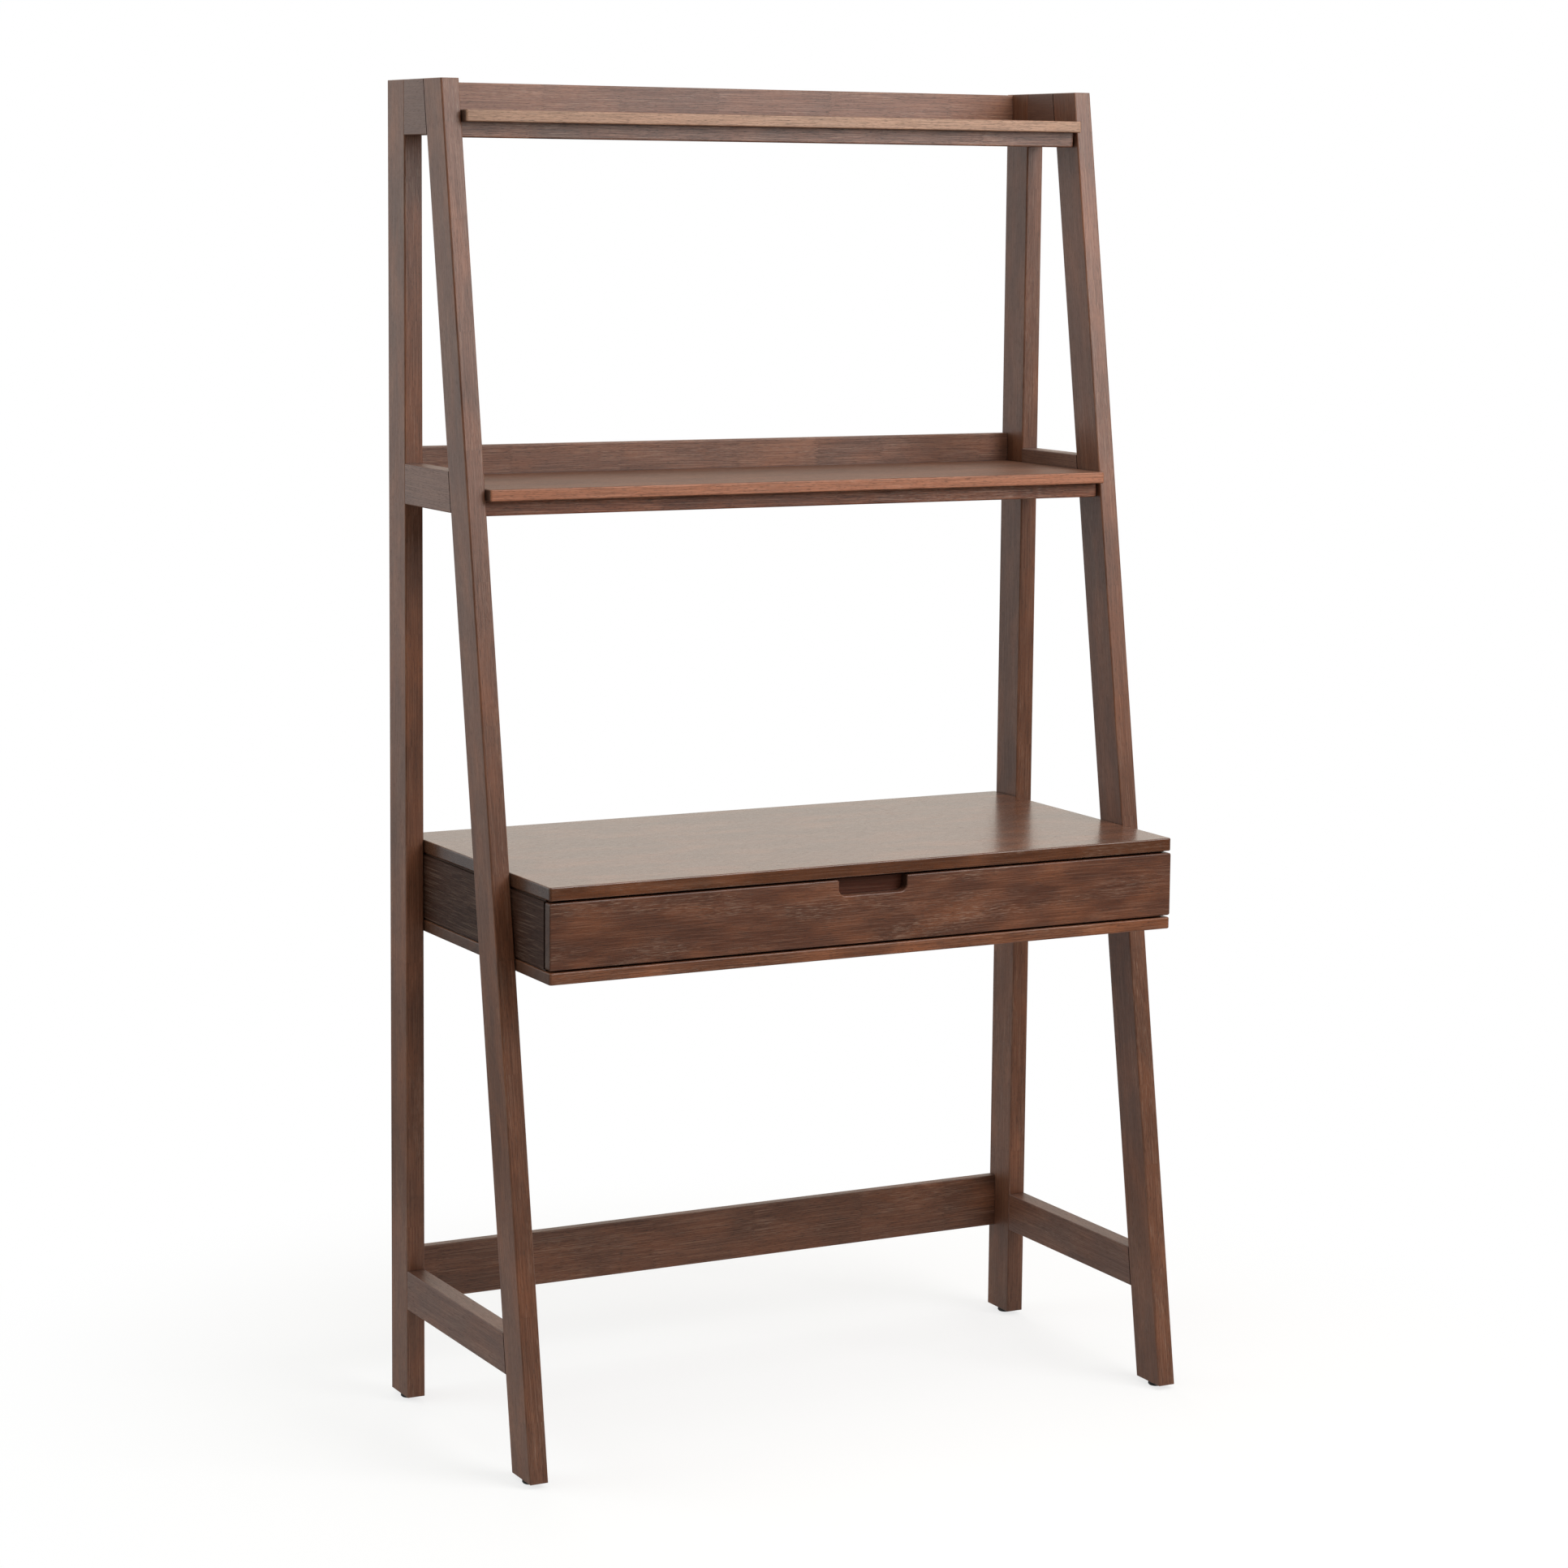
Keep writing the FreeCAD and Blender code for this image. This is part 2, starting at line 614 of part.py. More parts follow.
def cam_fitting(board_name, leg_name, point, way, face_way):
    """A cam in a board and the bolt that it pulls on. face_way points out of the board's face
    that the cam is set in, which lies half a board from point."""
    open_face = point + way * cam_setback + face_way * (board / 2)
    cam = rod(open_face - face_way * cam_depth, face_way, cam_depth, cam_diameter)
    pocket = rod(open_face - face_way * (cam_depth + glue_gap), face_way,
                 cam_depth + 2 * glue_gap, cam_diameter + 2 * glue_gap)
    bolt_room = cam_bolt_diameter + 2 * cam_bolt_room
    passage = rod(point, way, cam_setback, bolt_room)
    jaw = rod(point, way, cam_setback + cam_bolt_room, bolt_room)
    across = way.cross(face_way)
    slot_low = open_face - way * (cam_diameter / 4) - across * (cam_slot_width / 2)
    slot_high = open_face + way * (cam_diameter / 4) + across * (cam_slot_width / 2)
    slot_deep = slot_high - face_way * cam_slot_depth
    slot = box((slot_low.x, slot_deep.x), (slot_low.y, slot_deep.y), (slot_low.z, slot_deep.z))
    cut_from(board_name, pocket.fuse(passage))

    start = point - way * cam_bolt_in_leg
    neck_start = cam_bolt_in_leg + cam_setback - cam_diameter / 2
    head_start = neck_start + cam_bolt_neck_length
    shank = rod(start, way, neck_start, cam_bolt_diameter)
    neck = rod(start + way * neck_start, way, cam_bolt_neck_length, cam_bolt_neck)
    head = rod(start + way * head_start, way, cam_bolt_neck, cam_bolt_diameter)
    cut_from(leg_name, rod(start - way * glue_gap, way, cam_bolt_in_leg + glue_gap,
                           cam_bolt_diameter + 2 * hole_room))
    return cam.cut([jaw, slot]), shank.fuse([neck, head])


def fix_shelf(prefix, z_top, middle_rail):
    """Two cams and a peg at each end of a shelf, and a peg at each end of its back panel."""
    pegs = []
    cams = []
    bolts = []
    z = z_top - board / 2
    z_panel = z_top + shelf_back_rise / 2
    rail_y = (rear_leg_front + front_leg_back(z)) / 2
    down = vector(0, 0, -1)
    for name, side in SIDES.items():
        way = vector(-side, 0, 0)
        x = side * inner_x
        rear = vector(x, rear_leg_front + leg_depth / 2, z)
        front = vector(x, front_leg_middle(z), z)
        for leg, point in (("_rear_leg", rear), ("_front_leg", front)):
            cam, bolt = cam_fitting(prefix + "_shelf", name + leg, point, way, down)
            cams.append(cam)
            bolts.append(bolt)
        pegs.append(peg(prefix + "_shelf", name + middle_rail, vector(x, rail_y, z), way))
        point = vector(x, back_y - board / 2, z_panel)
        pegs.append(peg(prefix + "_back_panel", name + "_rear_leg", point, way))
    pieces[prefix + "_shelf_pegs"] = Part.makeCompound(pegs)
    pieces[prefix + "_shelf_cams"] = Part.makeCompound(cams)
    pieces[prefix + "_shelf_cam_bolts"] = Part.makeCompound(bolts)


def fix_back_rail():
    """Two pegs and a cam, set in from behind, at each end of the low back rail."""
    pegs = []
    cams = []
    bolts = []
    z = back_rail_top - back_rail_height / 2
    y = back_y - board / 2
    backwards = vector(0, 1, 0)
    for name, side in SIDES.items():
        way = vector(-side, 0, 0)
        leg = name + "_rear_leg"
        x = side * inner_x
        cam, bolt = cam_fitting("lower_back_rail", leg, vector(x, y, z), way, backwards)
        cams.append(cam)
        bolts.append(bolt)
        for peg_z in (z - back_rail_height / 4, z + back_rail_height / 4):
            pegs.append(peg("lower_back_rail", leg, vector(x, y, peg_z), way))
    pieces["back_rail_pegs"] = Part.makeCompound(pegs)
    pieces["back_rail_cams"] = Part.makeCompound(cams)
    pieces["back_rail_cam_bolts"] = Part.makeCompound(bolts)


def socket_bolt(head_face, way, shank_length):
    """A bolt with a low round head and a hexagon socket. head_face is under the head, and way
    points along the shank."""
    shank = rod(head_face, way, shank_length, bolt_diameter)
    head = rod(head_face - way * bolt_head_height, way, bolt_head_height, bolt_head_diameter)
    ring = []
    for step in range(7):
        turn = math.radians(60 * step)
        radius = bolt_socket / 2 / math.cos(math.radians(30))
        ring.append(head_face - way * bolt_head_height
                    + vector(0, radius * math.cos(turn), radius * math.sin(turn)))
    socket = Part.Face(Part.makePolygon(ring)).extrude(way * (bolt_head_height / 2))
    return head.fuse(shank).cut(socket)


def bolt_desk_box():
    """Two bolts into each leg, from inside the desk box, through its side panels."""
    bolts = []
    inserts = []
    levels = (underboard_top + bolt_edge, desktop_bottom - bolt_edge)
    for name, side in SIDES.items():
        way = vector(side, 0, 0)
        panel = "desk_" + name + "_side"
        for z in levels:
            places = {"_rear_leg": rear_leg_front + leg_depth / 2,
                      "_front_leg": front_leg_middle(z)}
            for leg, y in places.items():
                head_face = vector(side * desk_side_inner, y, z)
                leg_face = vector(side * inner_x, y, z)
                bolts.append(socket_bolt(head_face, way, board + bolt_in_leg))
                hole = rod(head_face, way, board, bolt_diameter + 2 * hole_room)
                cut_from(panel, hole)
                sleeve = rod(leg_face, way, insert_length, insert_diameter)
                cut_from(name + leg, rod(leg_face, way, insert_length + hole_room,
                                         insert_diameter + 2 * hole_room))
                inserts.append(sleeve.cut(rod(leg_face, way, bolt_in_leg + hole_room,
                                              bolt_diameter + 2 * hole_room)))
    pieces["desk_box_bolts"] = Part.makeCompound(bolts)
    pieces["leg_inserts"] = Part.makeCompound(inserts)


def pan_screw(head_face, way, length):
    head = rod(head_face - way * screw_head_height, way, screw_head_height, screw_head_diameter)
    return head.fuse(rod(head_face, way, length, screw_diameter))


def screw_hole(head_face, way, length):
    return rod(head_face, way, length + hole_room, screw_diameter + 2 * hole_room)


def screw_slides():
    """Screws through the outer members into the desk box, and through the inner members into
    the drawer. Their heads lie inside the channels."""
    case_screws = []
    drawer_screws = []
    pitch = (slide_length - 2 * slide_screw_inset) / (slide_screws - 1)
    for name, side in SIDES.items():
        outward = vector(side, 0, 0)
        inward = vector(-side, 0, 0)
        for count in range(slide_screws):
            y = slide_front + slide_screw_inset + count * pitch
            outer = vector(side * (desk_side_inner - slide_wall), y, slide_z)
            inner = vector(side * (drawer_half_width + slide_wall), y, slide_z)
            for head_face, way, member, target, screws in (
                    (outer, outward, "_slide_outer", "desk_" + name + "_side", case_screws),
                    (inner, inward, "_slide_inner", "drawer_" + name + "_side", drawer_screws)):
                screws.append(pan_screw(head_face, way, screw_length))
                cut_from(name + member, screw_hole(head_face, way, screw_length))
                cut_from(target, screw_hole(head_face, way, screw_length))
    pieces["slide_case_screws"] = Part.makeCompound(case_screws)
    pieces["slide_drawer_screws"] = Part.makeCompound(drawer_screws)


def screw_drawer_front():
    """Screws from inside the drawer that hold its front on."""
    screws = []
    half = drawer_half_width - drawer_wall - front_screw_inset
    forwards = vector(0, -1, 0)
    for count in range(front_screws):
        x = half * (2 * count / (front_screws - 1) - 1)
        head_face = vector(x, drawer_front_back + drawer_wall, slide_z)
        screws.append(pan_screw(head_face, forwards, front_screw_length))
        hole = screw_hole(head_face, forwards, front_screw_length)
        cut_from("drawer_inner_front", hole)
        cut_from("drawer_front", hole)
    pieces["drawer_front_screws"] = Part.makeCompound(screws)


def main():
    make_side_frames()
    make_glides()
    make_shelf("top", top_shelf_top)
    make_shelf("mid", mid_shelf_top)
    make_back_rail()
    make_desk_box()
    make_drawer()
    make_slides()
    fix_shelf("top", top_shelf_top, "_top_block")
    fix_shelf("mid", mid_shelf_top, "_mid_rail")
    fix_back_rail()
    bolt_desk_box()
    screw_slides()
    screw_drawer_front()
    os.makedirs("parts", exist_ok=True)
    for name, shape in pieces.items():
        shape.exportStep(os.path.join("parts", name + ".step"))


main()
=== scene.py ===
import math

import bmesh
import bpy
from mathutils import Matrix, Vector


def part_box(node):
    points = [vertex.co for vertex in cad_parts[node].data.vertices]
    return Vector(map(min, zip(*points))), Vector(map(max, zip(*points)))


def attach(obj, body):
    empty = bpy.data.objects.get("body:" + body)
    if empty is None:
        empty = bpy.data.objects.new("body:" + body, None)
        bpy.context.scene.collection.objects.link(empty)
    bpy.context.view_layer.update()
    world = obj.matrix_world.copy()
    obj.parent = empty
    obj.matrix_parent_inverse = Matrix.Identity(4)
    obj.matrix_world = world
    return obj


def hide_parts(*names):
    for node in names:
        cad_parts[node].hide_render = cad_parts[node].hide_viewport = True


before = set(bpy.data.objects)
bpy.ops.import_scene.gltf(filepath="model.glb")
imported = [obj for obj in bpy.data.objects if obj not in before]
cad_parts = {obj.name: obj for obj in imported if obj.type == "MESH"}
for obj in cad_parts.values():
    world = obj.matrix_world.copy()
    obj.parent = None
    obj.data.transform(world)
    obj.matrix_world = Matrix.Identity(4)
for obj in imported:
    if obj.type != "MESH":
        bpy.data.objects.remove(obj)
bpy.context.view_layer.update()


# ---- rear legs ----
# Two upright bars of solid hardwood at the back of the desk, finger-jointed from short staves,
# with eased long edges. They are planed, stained dark walnut and sprayed with a thin satin
# lacquer, which leaves the pores open.


def linear(hex_colour):
    """An sRGB colour written as #RRGGBB, as the linear RGBA that a shader takes."""
    parts = [int(hex_colour[start:start + 2], 16) / 255 for start in (1, 3, 5)]
    return [c / 12.92 if c <= 0.04045 else ((c + 0.055) / 1.055) ** 2.4 for c in parts] + [1.0]


def add_node(tree, kind, inputs=None, **settings):
    """Adds a node. inputs gives each socket a value, or the node or output that feeds it.

    Sockets that share a name go by number. A Map Range takes its value at 0, the range that it
    comes from at 1 and 2, and the range that it goes to at 3 and 4. A Mix of colours takes the
    share of the second at 0, and the colours at 6 and 7."""
    made = tree.nodes.new(kind)
    for key, value in settings.items():
        setattr(made, key, value)
    for key, value in (inputs or {}).items():
        if isinstance(value, bpy.types.Node):
            value = value.outputs[0]
        if isinstance(value, bpy.types.NodeSocket):
            tree.links.new(value, made.inputs[key])
        else:
            made.inputs[key].default_value = value
    return made


def start_material(name):
    """A new material, with its node tree and its shader."""
    material = bpy.data.materials.new(name)
    material.use_nodes = True
    return material, material.node_tree, material.node_tree.nodes["Principled BSDF"]


def stained_wood(name, grain, seed, deep, pale, teeth="Y", staves=0.3, warm=0.3, lines=1.0,
                 flecks=0.2, edge=None, roughness=0.4, gloss=0.5, coat=0.0):
    """Hardwood under stain and lacquer: fine dark pores and lines along the grain, on a tone
    that clouds from deep to pale, with pale flecks in places where the stain didn't take.

    grain turns the board's grain onto X, and seed gives the board its own place in the pattern.
    staves is how far its staves differ in tone, and teeth the axis across its finger joints.
    warm, lines and flecks say how strong its warm patches, its dark lines and pores, and its pale
    flecks are. edge is the colour that the faces which look forwards come halfway to. gloss is
    the shine of the lacquer, and coat that of a second layer on it."""
    material, tree, shader = start_material(name)
    pore_brown = linear("#1E130D")
    thin_stain = linear("#8E5535")
    bare_fleck = linear("#B09A89")

    # Each board has its own place in the pattern, and its grain wanders by up to 3 mm to each
    # side, in bends 300 mm long and 90 mm wide.
    board_step = (0.37, 1.3, 0.9)
    wander = 0.006
    bend_length = 0.3
    bend_width = 0.09
    texture = add_node(tree, "ShaderNodeTexCoord")
    board = add_node(tree, "ShaderNodeMapping", {
        "Vector": texture.outputs["Object"], "Rotation": grain,
        "Location": [step * seed for step in board_step]})
    bends = add_node(tree, "ShaderNodeVectorMath", {
        0: board, 1: (1 / bend_length, 1 / bend_width, 1 / bend_width)}, operation="MULTIPLY")
    sway = add_node(tree, "ShaderNodeTexNoise", {"Vector": bends, "Scale": 1.0, "Detail": 0.0})
    whole = add_node(tree, "ShaderNodeVectorMath", {
        0: sway.outputs["Color"], 1: (0.0, wander, wander), 2: board}, operation="MULTIPLY_ADD")

    # level runs from 0 at the deep tone to 1 at the pale one. It starts low enough for the
    # clouds and bands, which are added further down, to bring its mean to the middle.
    cloud_share = 0.9
    band_share = 0.3
    level = 0.5 - (cloud_share + band_share) / 2

    # Staves about 160 mm long meet in finger joints: teeth 8 mm long, at a pitch of 4 mm. The
    # pattern on whole runs on over the board, and the one on own starts afresh in each stave.
    stave_length = 0.16
    stave_step = 3.0
    tooth_length = 0.008
    tooth_width = 0.002
    own = whole
    if staves:
        place = add_node(tree, "ShaderNodeSeparateXYZ", {0: board})
        tooth = add_node(tree, "ShaderNodeMath", {0: place.outputs[teeth], 1: tooth_width},
                         operation="PINGPONG")
        run = add_node(tree, "ShaderNodeMath", {
            0: tooth, 1: tooth_length / tooth_width, 2: place.outputs["X"]},
            operation="MULTIPLY_ADD")
        run = add_node(tree, "ShaderNodeMath", {0: run, 1: 1 / stave_length},
                       operation="MULTIPLY")
        stave = add_node(tree, "ShaderNodeTexVoronoi", {"W": run, "Scale": 1.0},
                         voronoi_dimensions="1D")
        seam = add_node(tree, "ShaderNodeTexVoronoi", {"W": run, "Scale": 1.0},
                        voronoi_dimensions="1D", feature="DISTANCE_TO_EDGE")
        own = add_node(tree, "ShaderNodeVectorMath", {
            0: stave.outputs["Color"], 1: (0.0, stave_step, stave_step), 2: whole},
            operation="MULTIPLY_ADD")
        stave_tone = add_node(tree, "ShaderNodeSeparateXYZ", {0: stave.outputs["Color"]})
        level = add_node(tree, "ShaderNodeMath", {
            0: stave_tone, 1: staves, 2: level - staves / 2}, operation="MULTIPLY_ADD")

    # Each pattern is noise drawn out along the grain, by its length and width in millimetres,
    # from its own part of the noise. The pores are wider than real ones, so that they show.
    pattern_step = 7
    pattern = {}
    for order, (kind, source, length, width) in enumerate((
            ("cloud", whole, 150, 60), ("band", own, 400, 5), ("warmth", whole, 80, 30),
            ("line", own, 110, 0.55), ("pore", own, 9, 0.5), ("zone", whole, 200, 28),
            ("fleck", own, 15, 0.45))):
        grid = add_node(tree, "ShaderNodeVectorMath", {
            0: source, 1: (1000 / length, 1000 / width, 1000 / width),
            2: (pattern_step * order,) * 3}, operation="MULTIPLY_ADD")
        pattern[kind] = add_node(tree, "ShaderNodeTexNoise", {
            "Vector": grid, "Scale": 1.0, "Detail": 1.0})

    # The stain: clouds and bands between the two tones, and warmer patches of thin stain.
    for kind, share in (("cloud", cloud_share), ("band", band_share)):
        level = add_node(tree, "ShaderNodeMath", {0: pattern[kind], 1: share, 2: level},
                         operation="MULTIPLY_ADD")
    tone = add_node(tree, "ShaderNodeMix", {0: level, 6: linear(deep), 7: linear(pale)},
                    data_type="RGBA")
    thin = add_node(tree, "ShaderNodeMapRange", {0: pattern["warmth"], 1: 0.45, 2: 0.7, 3: 0.0,
                                                 4: warm})
    tone = add_node(tree, "ShaderNodeMix", {0: thin, 6: tone.outputs[2], 7: thin_stain},
                    data_type="RGBA")

    # Faces that look forwards come halfway to the edge's colour.
    if edge:
        forwards = add_node(tree, "ShaderNodeSeparateXYZ", {0: texture.outputs["Normal"]})
        paler_front = add_node(tree, "ShaderNodeMapRange", {
            0: forwards.outputs["Y"], 1: -0.95, 2: -0.5, 3: 0.5, 4: 0.0})
        tone = add_node(tree, "ShaderNodeMix", {0: paler_front, 6: tone.outputs[2], 7: linear(edge)},
                        data_type="RGBA")

    # Dark lines and open pores, end grain that soaks up more stain, and painted shade in the
    # corners where two pieces meet.
    line = add_node(tree, "ShaderNodeMapRange", {0: pattern["line"], 1: 0.36, 2: 0.56,
                                                 3: 0.42 * lines, 4: 0.0})
    pore = add_node(tree, "ShaderNodeMapRange", {0: pattern["pore"], 1: 0.33, 2: 0.44,
                                                 3: 0.6 * lines, 4: 0.0})
    facing = add_node(tree, "ShaderNodeMapping", {
        "Vector": texture.outputs["Normal"], "Rotation": grain}, vector_type="VECTOR")
    facing = add_node(tree, "ShaderNodeSeparateXYZ", {0: facing})
    facing = add_node(tree, "ShaderNodeMath", {0: facing}, operation="ABSOLUTE")
    end = add_node(tree, "ShaderNodeMapRange", {0: facing, 1: 0.7, 2: 0.95, 3: 0.0, 4: 0.65})
    # Ambient occlusion paints shade into the colour within 3 mm of where two pieces meet.
    shade_reach = 0.003
    painted_shade = add_node(tree, "ShaderNodeAmbientOcclusion", {"Distance": shade_reach}, samples=6)
    painted_shade = add_node(tree, "ShaderNodeMapRange", {0: painted_shade.outputs["AO"], 1: 0.3, 2: 0.8,
                                                    3: 0.7, 4: 0.0})
    for shade in (line, pore, end, painted_shade):
        tone = add_node(tree, "ShaderNodeMix", {0: shade, 6: tone.outputs[2], 7: pore_brown},
                        data_type="RGBA")

    # The glued joints are dark over 3 mm to each side, wider than real ones, so that they show.
    if staves:
        glue_reach = 0.003
        glue = add_node(tree, "ShaderNodeMapRange", {
            0: seam, 1: 0.0, 2: glue_reach / stave_length, 3: 0.5 * staves, 4: 0.0})
        tone = add_node(tree, "ShaderNodeMix", {0: glue, 6: tone.outputs[2], 7: pore_brown},
                        data_type="RGBA")

    # Pale flecks, only in some zones of the board, and faint pale lines between the dark ones.
    zone = add_node(tree, "ShaderNodeMapRange", {0: pattern["zone"], 1: 0.5, 2: 0.62, 3: 0.0,
                                                 4: flecks})
    fleck = add_node(tree, "ShaderNodeMapRange", {0: pattern["fleck"], 1: 0.58, 2: 0.68})
    fleck = add_node(tree, "ShaderNodeMath", {0: fleck, 1: zone}, operation="MULTIPLY")
    pale_line = add_node(tree, "ShaderNodeMapRange", {0: pattern["line"], 1: 0.55, 2: 0.66,
                                                      3: 0.0, 4: 0.14 * lines})
    fleck = add_node(tree, "ShaderNodeMath", {0: fleck, 1: pale_line}, operation="ADD")
    tone = add_node(tree, "ShaderNodeMix", {0: fleck, 6: tone.outputs[2], 7: bare_fleck},
                    data_type="RGBA")
    tree.links.new(tone.outputs[2], shader.inputs["Base Color"])

    # The lacquer sinks into the pores: it is duller there, and the surface dips by up to
    # 0.2 mm, deeper than on real wood, so that it shows.
    pore_depth = 0.0002
    dull = add_node(tree, "ShaderNodeMapRange", {0: pattern["pore"], 1: 0.3, 2: 0.45,
                                                 3: roughness + 0.15, 4: roughness})
    tree.links.new(dull.outputs[0], shader.inputs["Roughness"])
    height = add_node(tree, "ShaderNodeMath", {0: pattern["line"], 1: pattern["pore"]},
                      operation="ADD")
    bump = add_node(tree, "ShaderNodeBump", {
        "Height": height, "Strength": 0.5 * lines, "Distance": pore_depth})
    tree.links.new(bump.outputs["Normal"], shader.inputs["Normal"])
    shader.inputs["Specular IOR Level"].default_value = gloss
    shader.inputs["Coat Weight"].default_value = coat
    shader.inputs["Coat Roughness"].default_value = 0.2
    return material


def finish_node(name, material):
    """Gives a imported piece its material."""
    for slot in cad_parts[name].material_slots:
        slot.material = material


walnut_tones = ("#4D2F20", "#754933")
grain_up = (0.0, math.radians(90), 0.0)
for seed, side in enumerate(("left", "right"), 1):
    finish_node(side + "_rear_leg", stained_wood(
        side + " rear leg, walnut stain", grain_up, seed, *walnut_tones, staves=0.12,
        lines=0.8))


# ---- front legs ----
# Two bars of the same section that lean back by about 9 degrees. Their foot and top are cut
# level, and the grain follows the lean.

lean = math.radians(9.1)
grain_lean = (lean, math.radians(90), 0.0)
for seed, side in enumerate(("left", "right"), 3):
    finish_node(side + "_front_leg", stained_wood(
        side + " front leg, walnut stain", grain_lean, seed, *walnut_tones, staves=0.12,
        lines=0.8))


# ---- side rails ----
# A block at the top and two rails join the legs of each side frame, glued with stub tenons.
# They are solid hardwood with the grain along the rail, and the block has the calmest grain.

grain_back = (0.0, 0.0, math.radians(-90))
for seed, side in enumerate(("left", "right"), 5):
    finish_node(side + "_top_block", stained_wood(
        side + " top block, walnut stain", grain_back, seed, "#55392D", "#664638", staves=0.0,
        warm=0.0, lines=0.5, flecks=0.0))
    # The mid rails' tones are paler and greyer than the legs': painted sheen.
    finish_node(side + "_mid_rail", stained_wood(
        side + " mid rail, walnut stain", grain_back, seed + 2, "#5F4337", "#7A5647",
        staves=0.0, warm=0.0, lines=0.8, flecks=0.0))
    # The low rails' tones are darkened a little: painted shade, as on the inner face of the right
    # one.
    finish_node(side + "_lower_rail", stained_wood(
        side + " low rail, walnut stain", grain_back, seed + 4, "#52362B", "#694638",
        staves=0.0, warm=0.2, lines=0.8))


# ---- foot glides ----
# A round pad with a pin under each leg, moulded in one piece of black nylon and driven into the
# foot. The mould's fine spark texture makes it matt, and it is scuffed paler in places.

spark_size = 0.0008
spark_depth = 0.0001
scuff_size = 0.005
nylon, tree, shader = start_material("moulded black nylon")
texture = add_node(tree, "ShaderNodeTexCoord")
spark = add_node(tree, "ShaderNodeTexNoise", {
    "Vector": texture.outputs["Object"], "Scale": 1 / spark_size, "Detail": 2.0})
scuff = add_node(tree, "ShaderNodeTexNoise", {
    "Vector": texture.outputs["Object"], "Scale": 1 / scuff_size, "Detail": 3.0})
scuff = add_node(tree, "ShaderNodeMapRange", {0: scuff, 1: 0.5, 2: 0.7})
tone = add_node(tree, "ShaderNodeMix", {0: scuff, 6: linear("#171615"), 7: linear("#2A2826")},
                data_type="RGBA")
tree.links.new(tone.outputs[2], shader.inputs["Base Color"])
matt = add_node(tree, "ShaderNodeMapRange", {0: spark, 1: 0.3, 2: 0.7, 3: 0.45, 4: 0.65})
tree.links.new(matt.outputs[0], shader.inputs["Roughness"])
bump = add_node(tree, "ShaderNodeBump", {
    "Height": spark, "Strength": 0.3, "Distance": spark_depth})
tree.links.new(bump.outputs["Normal"], shader.inputs["Normal"])
for side in ("left", "right"):
    for foot in ("rear", "front"):
        finish_node(f"{side}_{foot}_glide", nylon)


# ---- shelves ----
# Each shelf is a 16 mm board, with a back panel glued behind it and an apron under its front,
# both finger-jointed. Its front edge is paler than the rest, and hidden cams and pegs hold it
# between the side frames.

grain_across = (0.0, 0.0, 0.0)
for seed, shelf, front_edge, apron_tones in (
        (11, "top", "#B8977F", ("#55382A", "#815541")),
        (15, "mid", "#B77556", ("#5D3523", "#8D5237"))):
    finish_node(shelf + "_shelf", stained_wood(
        shelf + " shelf, walnut stain", grain_across, seed, "#553524", "#7C5039",
        staves=0.0, warm=0.2, edge=front_edge, roughness=0.5, gloss=0.4))
    finish_node(shelf + "_back_panel", stained_wood(
        shelf + " back panel, walnut stain", grain_across, seed + 1, "#533427", "#835740",
        teeth="Z", staves=0.4))
    finish_node(shelf + "_apron", stained_wood(
        shelf + " apron, walnut stain", grain_across, seed + 2, *apron_tones, teeth="Z",
        flecks=0.35, lines=1.3))


# ---- low back rail ----
# A finger-jointed board on edge between the rear legs, near the floor, which stops the frames
# from racking. Cams and pegs hold it, and its grain runs across the desk, like the shelves'.

finish_node("lower_back_rail", stained_wood(
    "low back rail, walnut stain", grain_across, 21, *walnut_tones, teeth="Z"))


# ---- desk box ----
# The desktop, which has the smoothest lacquer, and the board under the drawer are glued up so
# well that no joint shows. Two sides and a finger-jointed back close the box, and bolts hold it
# between the legs.

finish_node("desktop", stained_wood(
    "desktop, walnut stain", grain_across, 22, "#472818", "#633B25", staves=0.0,
    lines=0.6, roughness=0.25, coat=0.3))
finish_node("desk_underboard", stained_wood(
    "desk floor board, walnut stain", grain_across, 23, "#532E1C", "#804D31", staves=0.0,
    warm=0.7))
finish_node("desk_back", stained_wood(
    "desk back, walnut stain", grain_across, 24, *walnut_tones, teeth="Z"))
# The sides' tones are much darker than the other boards': painted shade, for the shade between
# the legs under the desktop.
for seed, side in enumerate(("left", "right"), 25):
    finish_node(f"desk_{side}_side", stained_wood(
        f"desk {side} side, walnut stain", grain_back, seed, "#2B150B", "#3E2012", staves=0.0,
        warm=0.0, flecks=0.0, roughness=0.55, gloss=0.25))


# ---- drawer ----
# The front is one board with a finger notch in its top edge, screwed to a box of 12 mm
# plywood. The box is stained to match and sealed, and the ply bottom sits in grooves.

finish_node("drawer_front", stained_wood(
    "drawer front, walnut stain", grain_across, 27, "#452619", "#673D2A", staves=0.0,
    warm=0.35, lines=0.8, flecks=0.35))
for seed, nodes, grain in (
        (28, ("drawer_inner_front", "drawer_back", "drawer_bottom"), grain_across),
        (29, ("drawer_left_side", "drawer_right_side"), grain_back)):
    ply = stained_wood("drawer box, stained ply, board " + str(seed), grain, seed, "#451F13",
                       "#572E1E", staves=0.0, warm=0.0, lines=0.5, flecks=0.0, gloss=0.3)
    for node in nodes:
        finish_node(node, ply)


# ---- drawer slides ----
# Each side has a ball-bearing slide of three rolled steel channels and two ball cages. Bright
# zinc plating gives them a cold shine, with fine lines along Y from the rolling mill.

zinc_grey = linear("#C3C6C8")
zinc_shade = linear("#A5A8A6")


